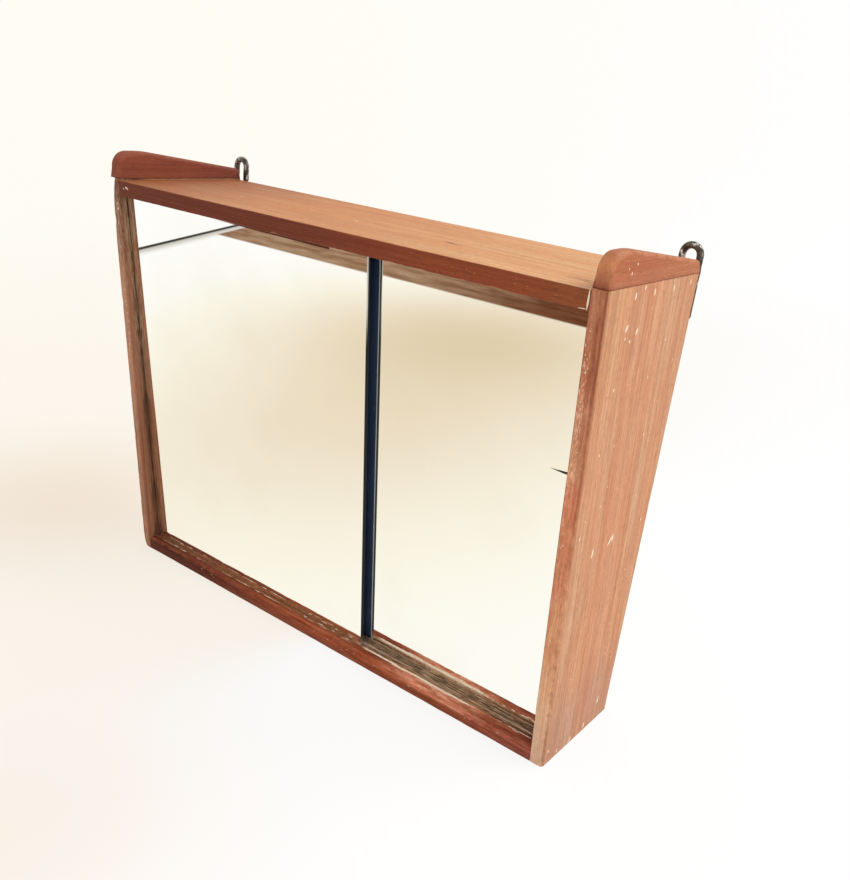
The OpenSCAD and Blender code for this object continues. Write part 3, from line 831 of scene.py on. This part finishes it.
def mirror_door(name, left, track, body):
    """A pane: a leaning rectangle in Y and Z with cut corners, carried along X."""
    x, inset = stations(left, left + PANE_WIDTH, SEAM, PANE_WIDTH, 1)
    foot = np.array([LIP_BOTTOM + GROOVE_PLAY + track * GROOVE_PITCH, BOTTOM_TOP])
    local = np.array([(0.0, -PANE_DROP), (GLASS, -PANE_DROP), (GLASS, PANE_HEIGHT - PANE_DROP),
                      (0.0, PANE_HEIGHT - PANE_DROP)])
    turn = np.array([[math.cos(LEAN), math.sin(LEAN)], [-math.sin(LEAN), math.cos(LEAN)]])
    section, inward, _ = rounded(local @ turn + foot, SEAM, 1)
    piece = carry(name, section, inward, x, inset, YZ_ALONG_X, [silver, seam, edge, backing],
                  smooth=False, body=body, slot="mirror", nodes=[name])
    normals = np.zeros(3 * len(piece.data.polygons), np.float32)
    piece.data.polygons.foreach_get("normal", normals)
    facing = normals.reshape(-1, 3)[:, 1]
    at_silver, at_seam, at_edge, at_backing = range(4)
    kind = np.select([facing < -0.95, facing > 0.95, facing < 0.2],
                     [at_silver, at_backing, at_edge], at_seam)
    piece.data.polygons.foreach_set("material_index", kind.astype(np.int32))
    return piece


mirror_door("mirror_left", PANE_GAP - INNER_HALF, 0, "door_left")
mirror_door("mirror_right", INNER_HALF - PANE_GAP - PANE_WIDTH, 1, "door_right")


# ---- hangers


def hanger(sign, name):
    """A bent rod: an oval section swept along its line.

    The line goes up the tang, round half a circle and down to the tip. The half axes go from
    the flat tang to the round rod, the section's corners fill as its power rises, the foot
    closes as a half circle and the tip as half a ball."""
    close = np.linspace(0, np.pi / 2, 7)
    z_foot = TANG_WIDTH / 2 * (1 - np.cos(close)) - TANG_LENGTH
    z_leg = np.linspace(TANG_WIDTH / 2 - TANG_LENGTH, HOOK_CENTRE, 40)[1:]
    bend = np.linspace(0, np.pi, 33)[1:]
    tip_start = ROD / 2 - TIP_DROP
    z_down = np.linspace(HOOK_CENTRE, tip_start, 10)[1:]
    z_tip = tip_start - ROD / 2 * np.sin(close[1:])
    rise, fall = np.concatenate([z_foot, z_leg]), np.concatenate([z_down, z_tip])
    z = np.concatenate([rise, HOOK_CENTRE + HOOK_RADIUS * np.sin(bend), fall])
    way = np.concatenate([0 * rise, bend, 0 * fall + np.pi])
    x = HOOK_RADIUS * (1 - np.cos(way))
    swell_from, swell_over = -6.0, 9.0
    swell = np.clip((z - swell_from) / swell_over, 0, 1)
    swell[len(rise):] = 1.0
    swell = swell * swell * (3 - 2 * swell)
    shrink = np.ones(len(z))
    shrink[:len(close)] = np.sin(close).clip(0.02)
    shrink[-len(z_tip):] = np.cos(close[1:]).clip(0.02)

    def turned(tang, rod):
        """Goes from the tang's value to the rod's."""
        return tang * (1 - swell) + rod * swell

    wide = turned(TANG_WIDTH / 2, ROD / 2) * shrink
    thick = turned(TANG_THICK / 2, ROD / 2)
    thick[-len(z_tip):] *= shrink[-len(z_tip):]
    power = turned(8.0, 2.0)[:, None]
    angle = np.linspace(0, 2 * np.pi, 28, endpoint=False)
    c, s = np.cos(angle), np.sin(angle)
    across = np.sign(c) * np.abs(c) ** (2 / power) * wide[:, None]
    out = np.sign(s) * np.abs(s) ** (2 / power) * thick[:, None]
    # up along the sloping rear plane, and off from it
    up = HEIGHT / math.cos(SLANT) + (z[:, None] + across * np.sin(way)[:, None])
    off = turned(TANG_THICK / 2, ROD_AXIS)[:, None] + out
    rings = np.stack([
        sign * (HALF_WIDTH - HANGER_INSET - (x[:, None] - across * np.cos(way)[:, None])),
        DEPTH_FOOT + up * math.sin(SLANT) + off * math.cos(SLANT),
        up * math.cos(SLANT) - off * math.sin(SLANT),
    ], -1)
    if sign > 0:
        rings = rings[:, ::-1]
    faces, loops = skin(rings)
    return add_piece(name, rings.reshape(-1, 3), faces, [tarnish], loops,
                     slot="rod_metal", nodes=[name])


hanger(-1, "hanger_left")
hanger(1, "hanger_right")


# ---- old paint


def paint_flecks(rng):
    """Specks and runs of old paint: low domes of three rings each, in one mesh.

    A dome's rim is an oval, long along its own angle, whose radius wavers round it. The rings
    stand at -0.05, 0.03 and 0.05 mm from the wood and shrink to 0.93 and 0.55 of the rim."""
    outer, front, top = (Y, Z), (X, Z), (X, Y)
    rows = []

    def fleck(face, level, *facts):
        """Adds a fleck by its place, length, width and angle. A pair is (from, to)."""
        u, v, long, wide, angle = (rng.uniform(*f) if isinstance(f, tuple) else f for f in facts)
        rows.append((face, level, u, v, long / 2, wide / 2, math.radians(angle)))

    for facts in [
        (43, 422.1, 6.5, 2, 86), (57, 427.2, 4, 1.4, 80), (74, 422.3, 6, 1.9, 86),
        (107.5, 422.5, 6, 1.6, 86), (137.5, 424.1, 4.5, 1.3, 86), (36, 398.8, 6.5, 2.6, 62),
        (53.3, 394.3, 5.5, 2.2, 78), (44, 387.7, 3, 1.6, 90), (36, 391, 2.4, 1.3, 60),
        (68.5, 211, 9, 2.2, 84), (64.5, 209.5, 11, 2, 48), (35.5, 208, 9, 2.2, 82),
        (9.7, 230.8, 3.5, 1.4, 80), (120.6, 211.5, 3, 1.2, 90), (135.4, 244.3, 3, 1, 90),
        (93.3, 23.2, 9, 2, 84), (71, 5.6, 7.5, 2, 80), (46.7, 4.6, 6, 1.8, 70),
        (44, 2.4, 3, 1.4, 20), (23.5, 5.5, 4.5, 1.6, 72), (8, 14, 3, 1.8, 40),
        (30, 352, 2.8, 2, 90), (86, 352, 2.6, 1.2, 90), (108, 380, 2.4, 1, 90),
        (96, 300, 3.2, 0.8, 88), (22, 300, 3, 1.4, 88), (128, 360, 2.6, 0.8, 88),
    ]:
        fleck(outer, HALF_WIDTH, *facts)
    for y, z in rng.uniform((6, 15), (118, 420), (26, 2)):
        fleck(outer, HALF_WIDTH, y, z, (0.8, 2.2), (0.5, 0.9), 88)
    # the side's front edge, worn to its old paint between two heights
    for z in np.concatenate([rng.normal(345, 24, 22), rng.uniform(285, 418, 12),
                             rng.uniform(30, 280, 8)]):
        fleck(front, 0, (286.8, 293), z, (0.7, 2.4), (0.35, 0.7), (70, 106))
    # runs and chips on the boards
    for facts in [(284.6, 421.3, 15.5, 1.7, 88), (280.6, 414.3, 7.5, 0.6, 3),
                  (-272, 422.4, 5.2, 1.8, 155), (-277.5, 421.4, 2.2, 1, 20),
                  (-290.5, 400, 2.6, 2, 90)]:
        fleck(front, 0, *facts)
    for x in rng.uniform(120, 275, 12):
        fleck(front, 0, x, (415, 424), (0.3, 0.9), (0.2, 0.3), (-20, 20))
    for x in rng.uniform(-262, 250, 16):
        fleck(front, 0, x, (7, 11.4), (1, 5), (0.3, 0.5), (-6, 6))
    for z in rng.uniform(240, 412, 16):
        fleck(front, 0, (-292, -288), z, (1, 4.5), (0.4, 0.8), (80, 96))
    for x, y, long in [(-246, 8.2, 9), (-229, 7.4, 6), (-118, 7.8, 5), (-96, 7.2, 9),
                       (-78, 7.6, 6), (-20, 8.6, 5), (3, 9.4, 9), (22, 9.8, 4), (43, 9.2, 5),
                       (262, 9.6, 8)]:
        fleck(top, BOTTOM_TOP, x, y, long, 0.9, 1)
    for facts in [(-6.7, 60.7, 4.5, 1.6, 4), (-163, 57, 3, 1.4, 12)]:
        fleck(top, TOP_BOARD_TOP, *facts)
    for facts in [(31.3, 439.9, 2.4, 1.4, 90), (38.6, 445.9, 2, 1.3, 90), (26, 443.5, 1.4, 1, 90)]:
        fleck(outer, HALF_WIDTH, *facts)

    sides = 12
    turn = np.linspace(0, 2 * np.pi, sides, endpoint=False)
    level, u, v, long, wide, angle = (c[:, None] for c in np.array([r[1:] for r in rows]).T)
    waver = 1 + 0.16 * rng.uniform(-1, 1, (len(rows), sides))
    a, b = long * np.cos(turn) * waver, wide * np.sin(turn) * waver
    du, dv = a * np.cos(angle) - b * np.sin(angle), a * np.sin(angle) + b * np.cos(angle)
    shrink, rise = np.array([[1.0], [0.93], [0.55]]), np.array([[-0.05], [0.03], [0.05]])
    points = np.zeros((len(rows), 3, sides, 3))
    for face, axis, outward in ((outer, X, 1), (front, Y, -1), (top, Z, 1)):
        mine = np.array([r[0] == face for r in rows])
        points[mine, :, :, axis] = level[mine][:, None] + outward * rise
        points[mine, :, :, face[0]] = u[mine][:, None] + du[mine][:, None] * shrink
        points[mine, :, :, face[1]] = v[mine][:, None] + dv[mine][:, None] * shrink
    at = np.arange(points.size // 3).reshape(len(rows), 3, sides)
    faces = between_rings(at).tolist() + at[:, 2].tolist() + at[:, 0, ::-1].tolist()
    return add_piece("paint_flecks", points.reshape(-1, 3), faces, [fleck_paint])


paint_flecks(np.random.default_rng(41))


# ---- stage, light and camera


def far_tone(finish, left):
    """White, and a little warm towards the left: floor and sky share it, so no edge shows."""
    return finish.blend(left.rise(0.1, 0.95), tone(255, 255, 255), tone(255, 252, 243))


def floor_finish():
    """The plain pale floor: it takes a soft shadow near the cabinet, and is white away from it,
    but for painted warm shade towards the left and a painted shadow left of the cabinet.

    In the mirrors it shows painted shadows about two places in front of the cabinet, and ends
    farther out at wooden boards, with painted shade on them towards the right and a painted
    shadow beside the dark line at the edge of the white."""
    finish = Finish("pale_floor")
    x, y, _ = finish.axes()

    def spot(x, y, size):
        """1 at a place on the floor, falling off as a bell curve of the given size in metres."""
        off = finish.vector("DISTANCE", {0: finish.place, 1: (x, y, 0.0)}, "Value")
        return (off * off * (-0.5 / size ** 2)).exp()

    away = finish.vector("LENGTH", {0: finish.place}, "Value")
    left = -1.0 * x / away
    cloud = finish.noise(1.3)
    # painted warm shade towards the left, fading away from the cabinet
    warm = left.rise(-0.3, 0.6) * (away + cloud).rise(3.6, 0.9)
    pale = finish.blend(warm, far_tone(finish, left), tone(252, 246, 236))
    # painted shadow to the left of the cabinet, then a faint warm patch in front of it
    pale = pale.to(spot(-0.48, -0.05, 0.14), tone(241, 227, 209))
    pale = pale.to(spot(0.02, -0.40, 0.11), tone(249, 239, 229))
    fine = finish.noise(6.0)
    under = finish.blend(fine, tone(251, 247, 243), tone(253, 251, 248))
    # painted shadows on the floor about two places in front of the cabinet, seen only in the
    # mirrors
    painted_shadow = spot(-0.38, -0.38, 0.32) * 0.45 + spot(-0.62, -1.10, 0.38) * 0.88
    mirrored = finish.node("ValToRGB", {"stops": [
        (0.0, tone(255, 255, 254)), (0.20, tone(251, 249, 237)), (0.34, tone(247, 241, 224)),
        (0.47, tone(242, 233, 215)), (0.61, tone(237, 224, 202)), (0.74, tone(232, 217, 191)),
        (0.88, tone(224, 209, 178)), (1.0, tone(218, 203, 168)),
    ]}, {0: painted_shadow})
    grain = finish.drawn((0.16, 0.05, 1.0), 5.0, 0.65)
    boards = finish.blend(grain.rise(0.36, 0.64), tone(140, 104, 77), tone(174, 143, 116))
    # painted shade on the boards towards the right
    boards = boards.to(x.rise(-1.25, -0.62), (0.45, 0.27, 0.21, 1.0), "MULTIPLY")
    edge = x - 0.42 * y
    beyond = y.rise(-1.425, -1.445) * y.rise(-1.90, -1.88)
    beyond = beyond * edge.rise(-1.41, -1.39)
    # rim is a painted grey shadow beside the dark line at the white's edge
    rim = edge.rise(-1.365, -1.44) * edge.rise(-1.462, -1.458)
    line = edge.rise(-1.428, -1.440) * edge.rise(-1.464, -1.452)
    mirrored = mirrored.to(edge.rise(-1.44, -1.47), tone(255, 255, 255))
    mirrored = mirrored.to(rim * 0.8, tone(178, 172, 164))
    mirrored = mirrored.to(line, tone(62, 60, 56))
    mirrored = mirrored.to(beyond, boards)
    white, glow = (finish.shader("Emission", colour, Strength=1.0) for colour in (pale, mirrored))
    matt = finish.shader("BsdfDiffuse", under)
    to_camera = finish.ray("Camera") * away.rise(0.40, 0.80, 0.84, 1.0)
    shown = finish.either(finish.ray("Glossy"), finish.either(to_camera, matt, white), glow)
    finish.node("OutputMaterial", None, {"Surface": shown})
    return finish.material


def add_floor():
    """A flat disc just under the foot: rings of growing radius, closed at the smallest."""
    radius = np.array([[20.0], [500.0], [2000.0], [12000.0]])
    around, drop = 64, 0.1
    angle = np.linspace(0, 2 * np.pi, around, endpoint=False)
    rings = np.stack([radius * np.cos(angle), radius * np.sin(angle) + DEPTH_FOOT / 2,
                      0 * radius * angle - drop], -1)
    at = np.arange(4 * around).reshape(4, around)
    upward = [0, 3, 2, 1]
    faces = between_rings(at)[:, upward].tolist() + [at[0].tolist()]
    mesh = bpy.data.meshes.new("floor")
    mesh.from_pydata(metres(rings.reshape(-1, 3)).tolist(), [], faces)
    mesh.materials.append(floor_finish())
    into_scene("floor", mesh)


def add_world():
    """An even pale sky that lights the cabinet, and plain white where it is seen."""
    world = bpy.data.worlds.new("studio")
    bpy.context.scene.world = world
    world.use_nodes = True
    sky = Finish("studio", world.node_tree.nodes, "Generated")
    x, y, z = sky.axes()
    lift = (0.55 * z + 0.35 * y + 0.25 * x).rise(-0.7, 0.9, 0.42, 1.15)
    light = sky.shader("Background", (1.0, 0.985, 0.96, 1.0), Strength=lift)
    white = sky.shader("Background", far_tone(sky, -1.0 * x), Strength=1.0)
    both = sky.either(sky.ray("Camera") + sky.ray("Glossy"), light, white)
    sky.node("OutputWorld", None, {"Surface": both})


def add_lamp(name, place, size, energy, colour):
    """A large soft lamp that faces the cabinet."""
    data = bpy.data.lights.new(name, "AREA")
    data.shape, data.size, data.energy, data.color = "DISK", size, energy, colour
    lamp = into_scene(name, data)
    away = Vector(place) - Vector((0.0, 0.0, 0.2))
    lamp.location = place
    lamp.rotation_euler = away.to_track_quat("Z", "Y").to_euler()


add_floor()
add_world()
add_lamp("window_light", (1.5, 1.2, 2.4), 1.6, 26.0, (1.0, 0.97, 0.93))

# Fitted to the cabinet's edges, with the place and turn in the rows of the matrix.
camera_data = bpy.data.cameras.new("camera")
camera_data.lens, camera_data.sensor_width = 35.54575, 36.0
camera_data.shift_x, camera_data.shift_y = -0.11705, 0.0749
camera = into_scene("camera", camera_data)
camera.matrix_world = Matrix((
    (0.815024, -0.317617, 0.484619, 0.59646),
    (0.570272, 0.291607, -0.767955, -0.60013),
    (0.102597, 0.902267, 0.418795, 0.54366),
    (0.0, 0.0, 0.0, 1.0),
))
bpy.context.scene.camera = camera
bpy.context.scene.view_settings.view_transform = "Standard"
